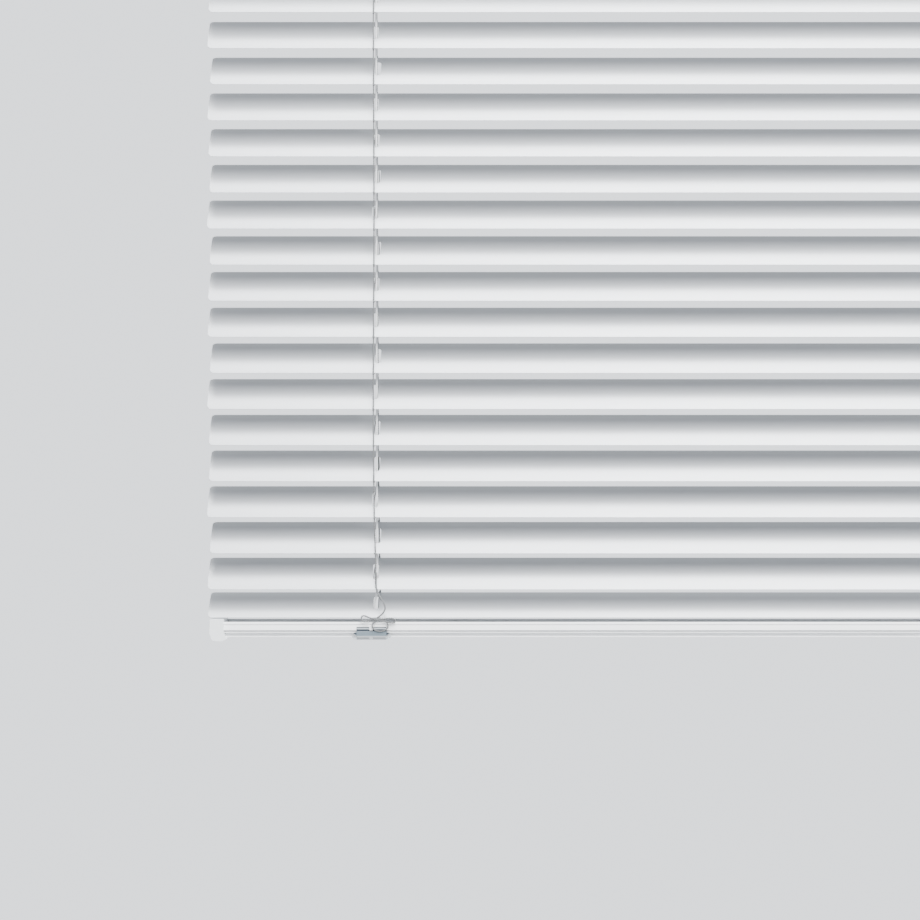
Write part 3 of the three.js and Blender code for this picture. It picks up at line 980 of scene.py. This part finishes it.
def build_rail_caps():
    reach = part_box("rail_cap_left")[1].y
    for place, side in (("left", -1), ("right", 1)):
        mesh = extruded(f"rail_cap_{place}_shell", cap_outline(side), -reach, reach, along_y)
        shade(mesh, 35)
        node = f"rail_cap_{place}"
        piece = make_object(mesh.name, mesh, "bottom_rail", WHITE_PLASTIC, [node])
        soften(piece, 0.9 * MM, 4)


CLIP_HALF = 8.9 * MM
CLIP_LEAN = 1.2 * MM
CLIP_SLOT = (-2.4 * MM, -0.3 * MM)
EAR_REACH = 11.9 * MM


def clip_section(side):
    """A leg of the clip from the side: a band with two ribs above it, hooked over the rail."""
    outer = SLAT_WIDTH / 2 + 1.1 * MM
    inner = SLAT_WIDTH / 2 + 0.25 * MM
    corners = [
        (0, RAIL_BOTTOM - 0.2 * MM, 0),
        (0, RAIL_BOTTOM - 1.1 * MM, 0),
        (outer - 1.2 * MM, RAIL_BOTTOM - 1.1 * MM, 0.8 * MM),
        (outer, RAIL_BOTTOM + 0.4 * MM, 0.8 * MM),
        (outer, RAIL_TOP - 6.1 * MM, 0.3 * MM),
        (outer - 0.45 * MM, RAIL_TOP - 5.9 * MM, 0.1 * MM),
        (outer - 0.45 * MM, RAIL_TOP - 5.2 * MM, 0.1 * MM),
        (outer - 0.1 * MM, RAIL_TOP - 4.9 * MM, 0.2 * MM),
        (outer - 0.15 * MM, RAIL_TOP - 4.3 * MM, 0.2 * MM),
        (outer - 0.5 * MM, RAIL_TOP - 4.1 * MM, 0.1 * MM),
        (outer - 0.5 * MM, RAIL_TOP - 3.5 * MM, 0.15 * MM),
        (inner, RAIL_TOP - 3.5 * MM, 0.15 * MM),
        (inner, RAIL_BOTTOM - 0.2 * MM, 0.2 * MM),
    ]
    return rounded_outline([(side * y, z, r) for y, z, r in corners])


def ear_outline(side):
    """The ear that stands out from the clip's foot, seen from the front."""
    corners = [
        (CLIP_HALF - 1 * MM, RAIL_BOTTOM - 1.1 * MM, 0.2 * MM),
        (EAR_REACH - 1.2 * MM, RAIL_BOTTOM - 1.0 * MM, 0.9 * MM),
        (EAR_REACH, RAIL_BOTTOM + 0.9 * MM, 0.7 * MM),
        (EAR_REACH - 1.3 * MM, RAIL_BOTTOM + 2.2 * MM, 0.7 * MM),
        (CLIP_HALF - 1 * MM, RAIL_BOTTOM + 1.6 * MM, 0.2 * MM),
    ]
    return rounded_outline([(side * x, z, r) for x, z, r in corners])


def hook_outline(side):
    """The barb that shows in the gap between an ear and the rail."""
    corners = [
        (CLIP_HALF - 0.2 * MM, RAIL_BOTTOM + 3.5 * MM, 0.1 * MM),
        (CLIP_HALF - 0.2 * MM, RAIL_BOTTOM + 1.5 * MM, 0.1 * MM),
        (EAR_REACH - 0.9 * MM, RAIL_BOTTOM + 2.9 * MM, 0.15 * MM),
    ]
    return rounded_outline([(side * x, z, r) for x, z, r in corners])


def clip_piece(mesh, node, material=CLIP_PLASTIC):
    return make_object(mesh.name, mesh, "bottom_rail", material, [node])


def build_clip_legs(node, way, side, x):
    """The two halves of a leg, with the slot for the ladder string between them."""
    centre = x - CLIP_LEAN
    slot_low, slot_high = (x + edge for edge in CLIP_SLOT)
    halves = {"left": (centre - CLIP_HALF, slot_low), "right": (slot_high, centre + CLIP_HALF)}
    for half, (low, high) in halves.items():
        mesh = extruded(f"{node}_{way}_{half}", clip_section(side), low, high, along_x)
        shade(mesh, 35)
        soften(clip_piece(mesh, node), 0.12 * MM, 2)


def build_clip_bridge(node, way, x, y):
    """The band that joins the two halves below the slot."""
    low, high = (x + edge for edge in CLIP_SLOT)
    lap = 0.1 * MM
    band = rounded_outline([
        (low - lap, RAIL_TOP - 6.2 * MM, 0),
        (low - lap, RAIL_BOTTOM - 1.1 * MM, 0),
        (high + lap, RAIL_BOTTOM - 1.1 * MM, 0),
        (high + lap, RAIL_TOP - 6.2 * MM, 0),
    ])
    mesh = extruded(f"{node}_{way}_bridge", band, y - 0.3 * MM, y + 0.5 * MM, along_y)
    clip_piece(mesh, node)


def build_clip_ears(node, way, x, y):
    """A clear ear at each end of the foot, with a barb above it in near-black plastic as painted shade."""
    for end, name in ((-1, "left"), (1, "right")):
        prefix = f"{node}_{way}_{name}"
        ear = extruded(f"{prefix}_ear", ear_outline(end), y - 0.3 * MM, y + 0.3 * MM, along_y)
        hook = extruded(f"{prefix}_hook", hook_outline(end), y - 0.5 * MM, y + 0.2 * MM, along_y)
        for mesh, finish in ((ear, CLEAR_PLASTIC), (hook, CLIP_SHADE)):
            mesh.transform(Matrix.Translation((x - CLIP_LEAN, 0, 0)))
            shade(mesh, 35)
            clip_piece(mesh, node, finish)


def build_clip(place, x):
    node = f"rail_clip_{place}"
    for side, way in ((-1, "front"), (1, "rear")):
        y = side * (SLAT_WIDTH / 2 + 0.55 * MM)
        build_clip_legs(node, way, side, x)
        build_clip_bridge(node, way, x, y)
        build_clip_ears(node, way, x, y)


for ladder_place, ladder_x in LADDERS.items():
    build_lift_cord(ladder_place, ladder_x)
    build_bow(ladder_place, ladder_x)
    build_clip(ladder_place, ladder_x)
build_slats()
build_rungs()
build_ladders()
build_winding()
build_spring()
build_bottom_rail()
build_rail_caps()


# CAD nodes that keep their shape.

FINISHES = {
    "headrail": ENAMEL,
    "headrail_cap_left": WHITE_PLASTIC,
    "headrail_cap_right": WHITE_PLASTIC,
    "bracket_left": STEEL,
    "bracket_right": STEEL,
    "cradle_left": WHITE_PLASTIC,
    "cradle_right": WHITE_PLASTIC,
    "tilter_housing": WHITE_PLASTIC,
    "spring_motor_case": WHITE_PLASTIC,
    "tilt_rod": STEEL,
    "tilt_gear": WHITE_PLASTIC,
    "ladder_drum_left": WHITE_PLASTIC,
    "ladder_drum_right": WHITE_PLASTIC,
    "tilter_worm": WHITE_PLASTIC,
    "wand_socket": CLEAR_PLASTIC,
    "wand": CLEAR_PLASTIC,
    "cord_spool": WHITE_PLASTIC,
}


def finish_cad_nodes():
    for name, material in FINISHES.items():
        node = NODES[name]
        node.data.materials.clear()
        node.data.materials.append(material)
        shade(node.data, 35)
        soften(node, 0.25 * MM, 2, 38)


finish_cad_nodes()


# Stage, lights and camera.

FLOOR_Z = -1.3
FLOOR_RADIUS = 1.55
FLOOR_CENTRE = (0, -0.2)
SKY_STRENGTH = 1.9
SKY = [(0.25, (0.50, 0.515, 0.535)), (0.85, (0.92, 0.955, 1.0))]
LIGHT_PLACE = (0.35, -1.35, 1.75)
LIGHT_TARGET = (0, 0, -0.25)
LIGHT_SIZE = (1.7, 3.0)
LIGHT_POWER = 320
CAMERA_PLACE = (-0.1142, -1.65, -0.3225)
CAMERA_LENS = 107.8
CAMERA_SHIFT = -0.06
SENSOR_WIDTH = 36


def build_stage():
    """A pale round floor, well below the hanging blind."""
    outline = arc_points(FLOOR_CENTRE, FLOOR_RADIUS, 0, 360, 96)[:-1]
    mesh = mesh_from("floor", [(p.x, p.y, FLOOR_Z) for p in outline], [tuple(range(len(outline)))])
    n = Nodes("floor")
    n.set(Roughness=0.9)
    tone = n.noise(n.place(), 6, 3)
    colour = n.ramp(tone, [(0.3, (0.52, 0.53, 0.54)), (0.7, (0.54, 0.55, 0.56))])
    n.link(colour, n.surface.inputs["Base Color"])
    mesh.materials.append(n.material)
    floor = bpy.data.objects.new("floor", mesh)
    bpy.context.scene.collection.objects.link(floor)


def build_world():
    """Pale all round, brightest behind the blind where the window would be."""
    world = bpy.data.worlds.new("studio")
    bpy.context.scene.world = world
    world.use_nodes = True
    tree = world.node_tree
    background = tree.nodes["Background"]
    background.inputs["Strength"].default_value = SKY_STRENGTH
    direction = tree.nodes.new("ShaderNodeTexCoord")
    split = tree.nodes.new("ShaderNodeSeparateXYZ")
    colour = tree.nodes.new("ShaderNodeValToRGB")
    for element, (position, tone) in zip(colour.color_ramp.elements, SKY):
        element.position = position
        element.color = (*tone, 1)
    tree.links.new(direction.outputs["Generated"], split.inputs["Vector"])
    tree.links.new(split.outputs["Y"], colour.inputs["Fac"])
    tree.links.new(colour.outputs["Color"], background.inputs["Color"])


def build_light():
    """One broad soft light from the room, high enough for each slat to shade the next."""
    data = bpy.data.lights.new("room", "AREA")
    data.shape = "RECTANGLE"
    data.size, data.size_y = LIGHT_SIZE
    data.energy = LIGHT_POWER
    light = bpy.data.objects.new("room", data)
    bpy.context.scene.collection.objects.link(light)
    light.location = LIGHT_PLACE
    direction = Vector(LIGHT_TARGET) - Vector(LIGHT_PLACE)
    light.rotation_euler = direction.to_track_quat("-Z", "Y").to_euler()


def build_camera():
    """Level and square to the blind, looking at its lower left part with a long lens."""
    data = bpy.data.cameras.new("camera")
    data.lens = CAMERA_LENS
    data.sensor_width = SENSOR_WIDTH
    data.shift_x = CAMERA_SHIFT
    camera = bpy.data.objects.new("camera", data)
    bpy.context.scene.collection.objects.link(camera)
    camera.location = CAMERA_PLACE
    camera.rotation_euler = (math.radians(90), 0, 0)
    bpy.context.scene.camera = camera


build_stage()
build_world()
build_light()
build_camera()
